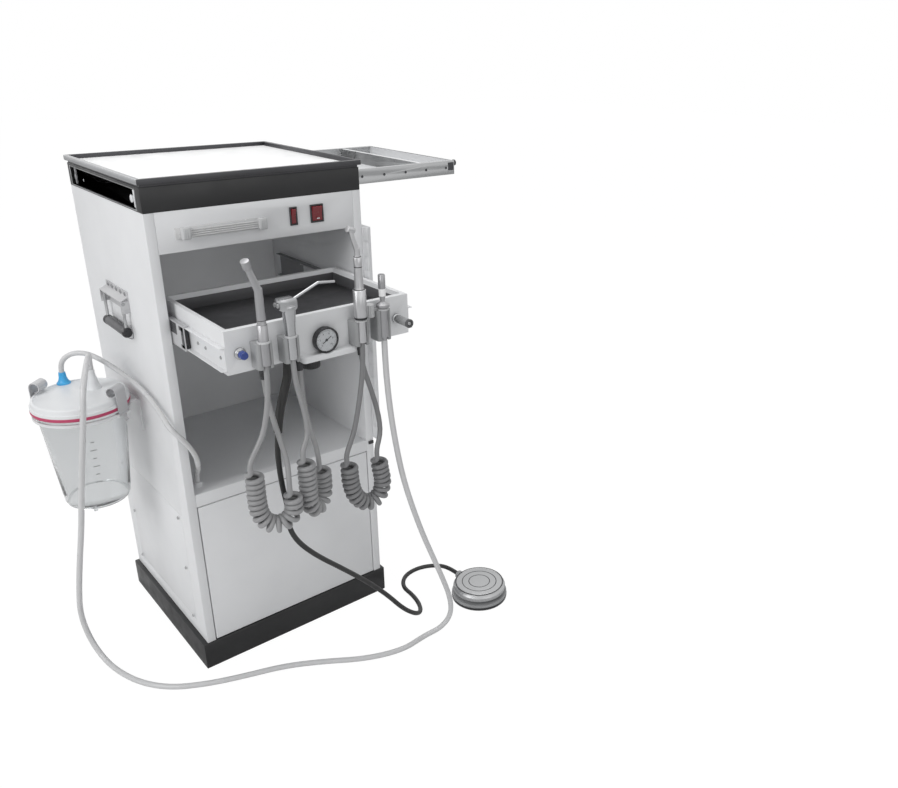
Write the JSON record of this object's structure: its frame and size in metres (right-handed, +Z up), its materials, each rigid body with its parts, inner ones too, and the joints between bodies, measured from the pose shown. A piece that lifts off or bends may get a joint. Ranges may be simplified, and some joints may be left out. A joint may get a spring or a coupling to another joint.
{
  "type": "portable dental unit",
  "caption": "Narrow wheelless dental cabinet with an instrument drawer, coiled handpiece hoses, side tray, suction jar, folding cover door and foot control.",
  "frame": {"origin": "middle of the cabinet between its side walls and between its front and back edges, on the underside of the plinth, at floor level", "axes": "+X to the operator's right, +Y from the front to the back of the cabinet, +Z up"},
  "size_m": [0.7961, 0.5953, 0.9025],
  "materials": {
    "white_board": "white melamine-faced board, satin",
    "white_sheet": "white powder coat, satin",
    "white_drawer": "white powder coat, satin",
    "black_sheet": "black powder coat, satin",
    "dark_rim": "black anodised, satin",
    "white_laminate": "glossy white laminate",
    "dark_laminate": "dark grey, fine texture",
    "bright_steel": "brushed",
    "dark_steel": "zinc-plated, dull",
    "chrome": "polished",
    "instrument_metal": "satin grey",
    "grey_plastic": "grey, satin",
    "grey_hose": "grey silicone, satin",
    "pale_hose": "pale grey silicone, satin",
    "black_hose": "black, matt",
    "black_plastic": "black, gloss",
    "red_plastic": "translucent red, gloss",
    "blue_plastic": "blue, gloss",
    "clear_plastic": "clear, moulded",
    "white_plastic": "white, moulded",
    "red_rubber": "red, satin",
    "lamp_lens": "ribbed, translucent",
    "tank_paint": "dark grey paint, gloss",
    "motor_paint": "grey paint"
  },
  "bodies": {
    "cabinet": {"plinth": "black_sheet", "shelf_boards": "white_board", "left_wall": "white_board", "right_wall": "white_board", "back_panel": "white_board", "compartment_liner": "white_board", "control_panel": "white_board", "service_panels": "white_board", "top_band": "black_sheet", "top_tray": "dark_rim", "worktop_sheet": "white_laminate", "slide_rails": "dark_steel", "door_hinge": "bright_steel", "handle_plate": "chrome", "strip_lamp": "lamp_lens", "switch_bezels": "black_plastic", "compressor": "motor_paint", "air_tank": "tank_paint", "water_bottle": "white_plastic", "control_box": "grey_plastic", "power_inlet": "black_plastic", "jar_bracket": "bright_steel", "collection_jar": "clear_plastic", "jar_seal": "red_rubber", "jar_lid": "white_plastic", "pedal_base": "grey_plastic", "vacuum_hose": "pale_hose", "suction_hose": "pale_hose", "foot_hose": "black_hose"},
    "drawer": {"drawer_box": "white_drawer", "drawer_insert": "dark_laminate", "drawer_inner_slides": "dark_steel", "pressure_gauge": "black_plastic", "instrument_holders": "grey_plastic", "valve_block": "grey_plastic", "high_speed_hose": "grey_hose", "high_speed_coil": "grey_hose", "syringe_hose": "grey_hose", "syringe_coil": "grey_hose", "low_speed_hose": "grey_hose", "low_speed_coil": "grey_hose", "foot_hose_top": "black_hose"},
    "drawer_middle_slides": {"drawer_middle_slides": "dark_steel"},
    "side_tray": {"side_tray": "bright_steel"},
    "cover_door": {"cover_door": "white_board"},
    "handle_bail": {"handle_bail": "chrome"},
    "main_rocker": {"main_rocker": "red_plastic"},
    "light_rocker": {"light_rocker": "red_plastic"},
    "water_knob": {"water_knob": "blue_plastic"},
    "air_knob": {"air_knob": "grey_plastic"},
    "regulator_knob": {"regulator_knob": "black_plastic"},
    "high_speed_handpiece": {"high_speed_handpiece": "instrument_metal"},
    "syringe": {"syringe": "chrome"},
    "air_button": {"air_button": "grey_plastic"},
    "water_button": {"water_button": "grey_plastic"},
    "low_speed_handpiece": {"low_speed_handpiece": "instrument_metal"},
    "saliva_ejector": {"saliva_ejector": "instrument_metal"},
    "pedal_top": {"pedal_top": "bright_steel"},
    "back_clip": {"back_clip": "chrome"},
    "front_clip": {"front_clip": "chrome"}
  },
  "joints": [
    {"name": "drawer_slide", "type": "slide", "parent": "cabinet", "child": "drawer", "axis": [0, 1, 0], "range_m": [0, 0.18]},
    {"name": "drawer_middle_slide", "type": "slide", "parent": "cabinet", "child": "drawer_middle_slides", "axis": [0, 1, 0], "range_m": [0, 0.09]},
    {"name": "side_tray_slide", "type": "slide", "parent": "cabinet", "child": "side_tray", "axis": [1, 0, 0], "range_m": [-0.23, 0]},
    {"name": "cover_door_hinge", "type": "hinge", "parent": "cabinet", "child": "cover_door", "pos_m": [0.1929, -0.192, 0.575], "axis": [0, 0, 1], "range_deg": [-180, 0]},
    {"name": "carry_handle_hinge", "type": "hinge", "parent": "cabinet", "child": "handle_bail", "pos_m": [-0.2, 0.0085, 0.6805], "axis": [0, 1, 0], "range_deg": [0, 95]},
    {"name": "main_switch_rock", "type": "hinge", "parent": "cabinet", "child": "main_rocker", "pos_m": [0.1015, -0.181, 0.8195], "axis": [1, 0, 0], "range_deg": [-16, 0]},
    {"name": "light_switch_rock", "type": "hinge", "parent": "cabinet", "child": "light_rocker", "pos_m": [0.057, -0.181, 0.8195], "axis": [1, 0, 0], "range_deg": [-16, 0]},
    {"name": "water_knob_turn", "type": "hinge", "parent": "drawer", "child": "water_knob", "pos_m": [-0.14, -0.367, 0.668], "axis": [0, -1, 0], "range_deg": [0, 270]},
    {"name": "air_knob_turn", "type": "hinge", "parent": "drawer", "child": "air_knob", "pos_m": [0.137, -0.367, 0.667], "axis": [0, -1, 0], "range_deg": [0, 270]},
    {"name": "regulator_turn", "type": "hinge", "parent": "drawer", "child": "regulator_knob", "pos_m": [-0.014, -0.336, 0.6165], "axis": [0, 0, -1], "range_deg": [0, 300]},
    {"name": "high_speed_lift", "type": "slide", "parent": "drawer", "child": "high_speed_handpiece", "axis": [0, 0, 1], "range_m": [0, 0.06]},
    {"name": "syringe_lift", "type": "slide", "parent": "drawer", "child": "syringe", "axis": [0, 0, 1], "range_m": [0, 0.06]},
    {"name": "low_speed_lift", "type": "slide", "parent": "drawer", "child": "low_speed_handpiece", "axis": [0, 0, 1], "range_m": [0, 0.06]},
    {"name": "ejector_lift", "type": "slide", "parent": "drawer", "child": "saliva_ejector", "axis": [0, 0, 1], "range_m": [0, 0.06]},
    {"name": "air_button_press", "type": "slide", "parent": "syringe", "child": "air_button", "axis": [1, 0, 0], "range_m": [0, 0.0025], "stiffness_N_per_m": 400, "springref_m": -0.0015},
    {"name": "water_button_press", "type": "slide", "parent": "syringe", "child": "water_button", "axis": [1, 0, 0], "range_m": [0, 0.0025], "stiffness_N_per_m": 400, "springref_m": -0.0015},
    {"name": "foot_pedal_press", "type": "slide", "parent": "cabinet", "child": "pedal_top", "axis": [0, 0, -1], "range_m": [0, 0.006], "stiffness_N_per_m": 3000, "springref_m": -0.006},
    {"name": "back_clip_release", "type": "hinge", "parent": "cabinet", "child": "back_clip", "pos_m": [-0.33756, 0.07456, 0.4905], "axis": [-0.7071, -0.7071, 0], "range_deg": [0, 60]},
    {"name": "front_clip_release", "type": "hinge", "parent": "cabinet", "child": "front_clip", "pos_m": [-0.22989, -0.04714, 0.4905], "axis": [0.788, 0.6157, 0], "range_deg": [0, 25]}
  ],
  "couplings": [
    {"joint": "drawer_middle_slide", "follows": "drawer_slide", "ratio": 0.5}
  ]
}
